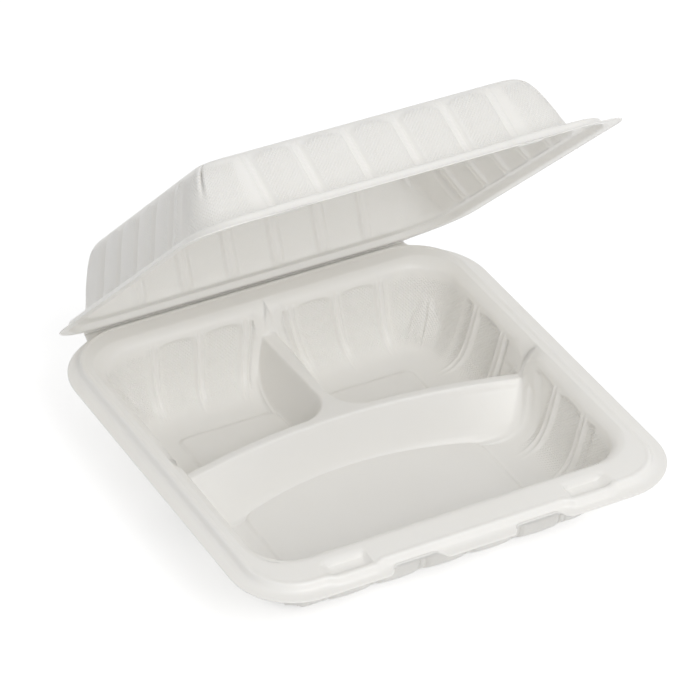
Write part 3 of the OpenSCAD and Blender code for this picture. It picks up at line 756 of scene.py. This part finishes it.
def make_lid():
    sheet = Sheet()
    rings = rim_rings(LID_EDGE, BOSS_ROWS, LID_CLEAR, BOSS_INSET, notch=False)
    at = places(LID_STEPS)
    section = spline(LID_WALL, at)
    section[0] = LID_WALL[0]
    corner = np.interp(at, np.arange(len(LID_WALL)), LID_CORNER)
    hole = grown(OPENING, -LID_CLEAR)
    columns = (FRONT_X, CORNER_SHARES, SIDE_Y, BACK_SHARES, BACK_LOOP, BACK_SHARES, SIDE_Y, CORNER_SHARES)
    parts = np.cumsum([0] + [len(part) for part in columns])
    end_off = rib_offset(FRONT_X, END_RIBS)
    side_off = rib_offset(SIDE_Y, SIDE_RIBS)
    back_off = rib_offset(BACK_LOOP, END_RIBS)
    wall, weaves = [], []
    for i in range(1, len(at)):
        inward, height = section[i]
        line = hole + np.array([-inward, inward, -inward, corner[i] - hole[3], corner[i] - hole[4]])
        span = min(SPAN_X, line[0] - line[3])
        front = FRONT_X * span / SPAN_X
        back = BACK_LOOP * span / SPAN_X
        low, high = max(SIDE_FRONT, line[1] + line[3]), min(SIDE_BACK, line[2] - line[4])
        side = low + (SIDE_Y - SIDE_FRONT) * (high - low) / (SIDE_BACK - SIDE_FRONT)
        p = loop(line, front, side, back, side[::-1])
        out_front, weave_front = lid_flute(end_off, height)
        out_side, weave_side = lid_flute(side_off, height)
        out_back, weave_back = lid_flute(back_off, height)
        p[parts[0]:parts[1], 1] -= out_front
        p[parts[2]:parts[3], 0] += out_side
        p[parts[4]:parts[5], 1] += out_back
        p[parts[6]:parts[7], 0] -= out_side[::-1]
        weave = np.zeros(len(p))
        weave[parts[0]:parts[1]] = weave_front
        weave[parts[2]:parts[3]] = weave_side
        weave[parts[4]:parts[5]] = weave_back
        weave[parts[6]:parts[7]] = weave_side[::-1]
        for k, (sx, sy) in zip((1, 3, 5, 7), ((1, -1), (1, 1), (-1, 1), (-1, -1))):
            a, b = parts[k], parts[k + 1]
            p[a:b] -= lid_groove(p[a:b], line, height, sx, sy)
            shares = np.linspace(0, 1, b - a)
            ends = ease(0, 0.08, shares) * ease(1, 0.92, shares)
            weave[a:b] = ease(5, 7.5, height) * ease(34, 32, height) * ends
        wall.append(np.column_stack([p, np.full(len(p), height + LID_CLEAR)]))
        weaves.append(weave)
    grid = np.concatenate([rings, np.array(wall)])
    weave = np.concatenate([np.zeros(rings.shape[:2]), np.array(weaves)])
    down = walk(grid.transpose(1, 0, 2))[0]
    u = walk(grid[len(rings) + LID_U_RING])
    sheet.grid(grid, u[None, :], down[:, None], weave)
    sheet.floor(grid.shape[1])
    return thickened(finish_mesh(sheet, "lid_sheet", opened), 1, INNER_PLASTIC, OUTER_PLASTIC)


class Number:
    """A number in a node tree. An expression on it adds the Math nodes."""

    def __init__(self, nodes, socket):
        self.nodes, self.socket = nodes, socket

    def made(self, operation, *values):
        return self.nodes.node("ShaderNodeMath", {"operation": operation}, dict(enumerate(values)))

    def __add__(self, other):
        return self.made("ADD", self, other)

    def __sub__(self, other):
        return self.made("SUBTRACT", self, other)

    def __rsub__(self, other):
        return self.made("SUBTRACT", other, self)

    def __mul__(self, other):
        return self.made("MULTIPLY", self, other)

    def __truediv__(self, other):
        return self.made("DIVIDE", self, other)

    def __rtruediv__(self, other):
        return self.made("DIVIDE", other, self)

    __radd__, __rmul__ = __add__, __mul__

    def sine(self):
        return self.made("SINE", self)

    def cosine(self):
        return self.made("COSINE", self)

    def size(self):
        return self.made("ABSOLUTE", self)

    def power(self, exponent):
        return self.made("POWER", self, exponent)

    def between(self, low, high):
        above = self.made("MAXIMUM", self, low)
        return above.made("MINIMUM", above, high)


class Nodes:
    """A node tree, with one way to make each of its nodes."""

    def __init__(self, tree):
        self.tree = tree

    def node(self, kind, settings=None, inputs=None, output=0):
        made = self.tree.nodes.new(kind)
        for key, value in (settings or {}).items():
            setattr(made, key, value)
        for key, value in (inputs or {}).items():
            self.feed(made.inputs[key], value)
        return Number(self, made.outputs[output])

    def feed(self, socket, value):
        if isinstance(value, Number):
            self.tree.links.new(value.socket, socket)
        else:
            socket.default_value = value


class Finish(Nodes):
    """A material's nodes."""

    def __init__(self, name):
        self.material = bpy.data.materials.new(name)
        self.material.use_nodes = True
        super().__init__(self.material.node_tree)
        self.shader = self.tree.nodes["Principled BSDF"]
        self.output = self.tree.nodes["Material Output"]

    def look(self, **values):
        """Sets the shader's own sockets. Their names have underscores for spaces."""
        for key, value in values.items():
            self.feed(self.shader.inputs[key.replace("_", " ")], value)

    def attribute(self, name):
        return self.node("ShaderNodeAttribute", {"attribute_name": name}, output="Fac")

    def noise(self, scale, detail):
        place = self.node("ShaderNodeTexCoord", output="Object")
        return self.node("ShaderNodeTexNoise", inputs={"Vector": place, "Scale": scale, "Detail": detail})


WARM_WHITE = (0.925, 0.91, 0.875, 1.0)
DEEPER_WHITE = (0.89, 0.87, 0.825, 1.0)
WEAVE_PITCH = 1.3
INNER_EMBOSSING, OUTER_EMBOSSING = 0.2, 0.05
CLOUD_SCALE, GRAIN_SCALE = 14.0, 900.0
GRAIN_DEPTH = 0.06
SCATTER_DEPTH = 6.0


def moulded_plastic(name, embossed):
    """Ivory thermoformed sheet: satin, faintly clouded, with a fine diamond embossing on its panels."""
    f = Finish(name)
    cloud = f.noise(CLOUD_SCALE, 3.0)
    grain = f.noise(GRAIN_SCALE, 2.0)
    colour = f.node("ShaderNodeMix", {"data_type": "RGBA"},
                    {"Factor": cloud * 0.5, "A": WARM_WHITE, "B": DEEPER_WHITE}, output="Result")
    turn = math.pi / (WEAVE_PITCH * math.sqrt(2))
    along, down, weave = (f.attribute(key) for key in ("wall_along", "wall_down", "weave"))
    one = ((along + down) * turn).sine().size().power(4.0)
    two = ((along - down) * turn).sine().size().power(4.0)
    emboss = one.made("MAXIMUM", one, two) * weave
    f.look(Base_Color=colour, Roughness=cloud * 0.10 + 0.28, IOR=1.49)
    bump = f.node("ShaderNodeBump", inputs={"Strength": 1.0, "Distance": embossed * MM, "Height": emboss})
    fine = f.node("ShaderNodeBump", inputs={"Strength": 0.35, "Distance": GRAIN_DEPTH * MM, "Height": grain,
                                            "Normal": bump})
    f.look(Normal=fine)
    f.look(Subsurface_Weight=0.2, Subsurface_Radius=(1.0, 0.9, 0.75), Subsurface_Scale=SCATTER_DEPTH * MM)
    return f.material


INNER_PLASTIC = moulded_plastic("ivory_inner", INNER_EMBOSSING)
OUTER_PLASTIC = moulded_plastic("ivory_outer", OUTER_EMBOSSING)

WEB_ROWS = 41

# The hinge is a thin web that bends round the crease, with a leg inside each sheet
WEB = {"Length": 2 * HINGE_HALF * MM, "Thickness": 0.4 * MM, "Radius": (LID_CLEAR + SHEET) / 2 * MM,
       "Sweep": math.pi - OPEN_ANGLE, "Leg": 2.5 * MM}


def web_tree():
    """Nodes that bend a flat bar round the crease. The bar's y runs along the section."""
    tree = bpy.data.node_groups.new("hinge_web", "GeometryNodeTree")
    for name in WEB:
        tree.interface.new_socket(name, in_out="INPUT", socket_type="NodeSocketFloat")
    tree.interface.new_socket("Web", in_out="OUTPUT", socket_type="NodeSocketGeometry")
    g = Nodes(tree)
    named = tree.nodes.new("NodeGroupInput").outputs
    length, thick, radius, sweep, leg = (Number(g, named[name]) for name in WEB)
    run = radius * sweep
    size = g.node("ShaderNodeCombineXYZ", inputs={"X": length, "Y": run + leg * 2, "Z": thick})
    bar = g.node("GeometryNodeMeshCube", inputs={"Size": size, "Vertices X": 2, "Vertices Y": WEB_ROWS,
                                                 "Vertices Z": 2})
    place = g.node("GeometryNodeInputPosition")
    x, y, z = (g.node("ShaderNodeSeparateXYZ", inputs={0: place}, output=axis) for axis in "XYZ")
    s = y + run * 0.5
    angle = (s / radius).between(0.0, sweep)
    rest = s - radius * angle
    reach = radius - z
    bent = g.node("ShaderNodeCombineXYZ", inputs={"X": x, "Y": reach * angle.sine() + rest * angle.cosine(),
                                                  "Z": rest * angle.sine() - reach * angle.cosine()})
    moved = g.node("GeometryNodeSetPosition", inputs={"Geometry": bar, "Position": bent})
    real = g.node("GeometryNodeRealizeInstances", inputs={"Geometry": moved})
    dressed = g.node("GeometryNodeSetMaterial", inputs={"Geometry": real, "Material": OUTER_PLASTIC})
    g.feed(tree.nodes.new("NodeGroupOutput").inputs["Web"], dressed)
    return tree


def make_web():
    web = link(bpy.data.meshes.new("hinge_web"), "hinge_web")
    nodes = web.modifiers.new("web", "NODES")
    nodes.node_group = web_tree()
    for item in nodes.node_group.interface.items_tree:
        if item.in_out == "INPUT":
            nodes[item.identifier] = WEB[item.name]
    baked(web)
    web.data.transform(Matrix.Translation(Vector(CREASE) * MM))
    return web


tray = make_tray()
lid = make_lid()
web = make_web()
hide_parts("tray")
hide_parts("lid")
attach(tray, "tray")
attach(lid, "lid")
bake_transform(web)

# Camera at the photograph's view: it was fitted to the flange's outline
FOCAL_PIXELS = 4015.7
FRAME_PIXELS = 700
SENSOR = 36.0
CAMERA_ELEVATION, CAMERA_AZIMUTH, CAMERA_ROLL = (math.radians(a) for a in (35.658, 30.071, 1.859))
EYE = Vector((-779.2, -1332.6, 1144.2)) + Vector(SHIFT)


def make_camera():
    ce, se = math.cos(CAMERA_ELEVATION), math.sin(CAMERA_ELEVATION)
    ca, sa = math.cos(CAMERA_AZIMUTH), math.sin(CAMERA_AZIMUTH)
    forward = Vector((sa * ce, ca * ce, -se))
    right = Vector((ca, -sa, 0))
    up = right.cross(forward)
    cr, sr = math.cos(CAMERA_ROLL), math.sin(CAMERA_ROLL)
    right, up = cr * right + sr * up, -sr * right + cr * up
    data = bpy.data.cameras.new("camera")
    data.sensor_width = SENSOR
    data.lens = FOCAL_PIXELS / FRAME_PIXELS * SENSOR
    data.clip_start = 0.05
    data.clip_end = 20
    camera = link(data, "camera")
    turn = Matrix((right, up, -forward)).transposed().to_4x4()
    camera.matrix_world = Matrix.Translation(EYE * MM) @ turn
    bpy.context.scene.camera = camera


make_camera()

# Stage: a pale floor, an even white sky and one soft lamp in front. Sizes here are in metres and watts.
FLOOR_LIFT = 0.5
FLOOR_HALF = 6.0
FLOOR_DROP = 0.0002
WORLD_LIGHT = 0.62
KEY_PLACE, KEY_AIM, KEY_SIZE, KEY_WATTS = (0.05, -1.4, 1.35), (0, 0, 0.05), 1.1, 13.5


def seen_directly(nodes):
    """1 for the rays that see the stage from the camera or by a reflection, and 0 for those that light."""
    seen = nodes.node("ShaderNodeLightPath", output="Is Camera Ray")
    for ray in ("Is Glossy Ray", "Is Transmission Ray"):
        seen = seen.made("MAXIMUM", seen, nodes.node("ShaderNodeLightPath", output=ray))
    return seen


def white_floor():
    """Pale floor: white to the camera where nothing shades it."""
    f = Finish("white_floor")
    f.look(Base_Color=(0.8, 0.8, 0.8, 1.0), Roughness=0.9, Specular_IOR_Level=0.0)
    glow = seen_directly(f) * FLOOR_LIFT
    lift = f.node("ShaderNodeEmission", inputs={"Color": (1, 1, 1, 1), "Strength": glow})
    both = f.node("ShaderNodeAddShader", inputs={0: Number(f, f.shader.outputs[0]), 1: lift})
    f.feed(f.output.inputs["Surface"], both)
    return f.material


def make_floor():
    data = bpy.data.meshes.new("floor")
    corners = [(x * FLOOR_HALF, y * FLOOR_HALF, -FLOOR_DROP) for x, y in ((-1, -1), (1, -1), (1, 1), (-1, 1))]
    data.from_pydata(corners, [], [(0, 1, 2, 3)])
    floor = link(data, "floor")
    data.materials.append(white_floor())


def area_lamp(name, place, aim, size, watts):
    data = bpy.data.lights.new(name, "AREA")
    data.shape = "DISK"
    data.size = size
    data.energy = watts
    lamp = link(data, name)
    lamp.location = Vector(place)
    lamp.rotation_euler = (Vector(aim) - Vector(place)).to_track_quat("-Z", "Y").to_euler()


def make_world(strength):
    world = bpy.data.worlds.new("studio")
    world.use_nodes = True
    w = Nodes(world.node_tree)
    back = w.tree.nodes["Background"]
    w.feed(back.inputs["Color"], (1.0, 1.0, 1.0, 1.0))
    w.feed(back.inputs["Strength"], strength + seen_directly(w) * (1 - strength))
    bpy.context.scene.world = world


make_floor()
make_world(WORLD_LIGHT)
area_lamp("key_lamp", KEY_PLACE, KEY_AIM, KEY_SIZE, KEY_WATTS)
bpy.context.scene.view_settings.view_transform = "Standard"
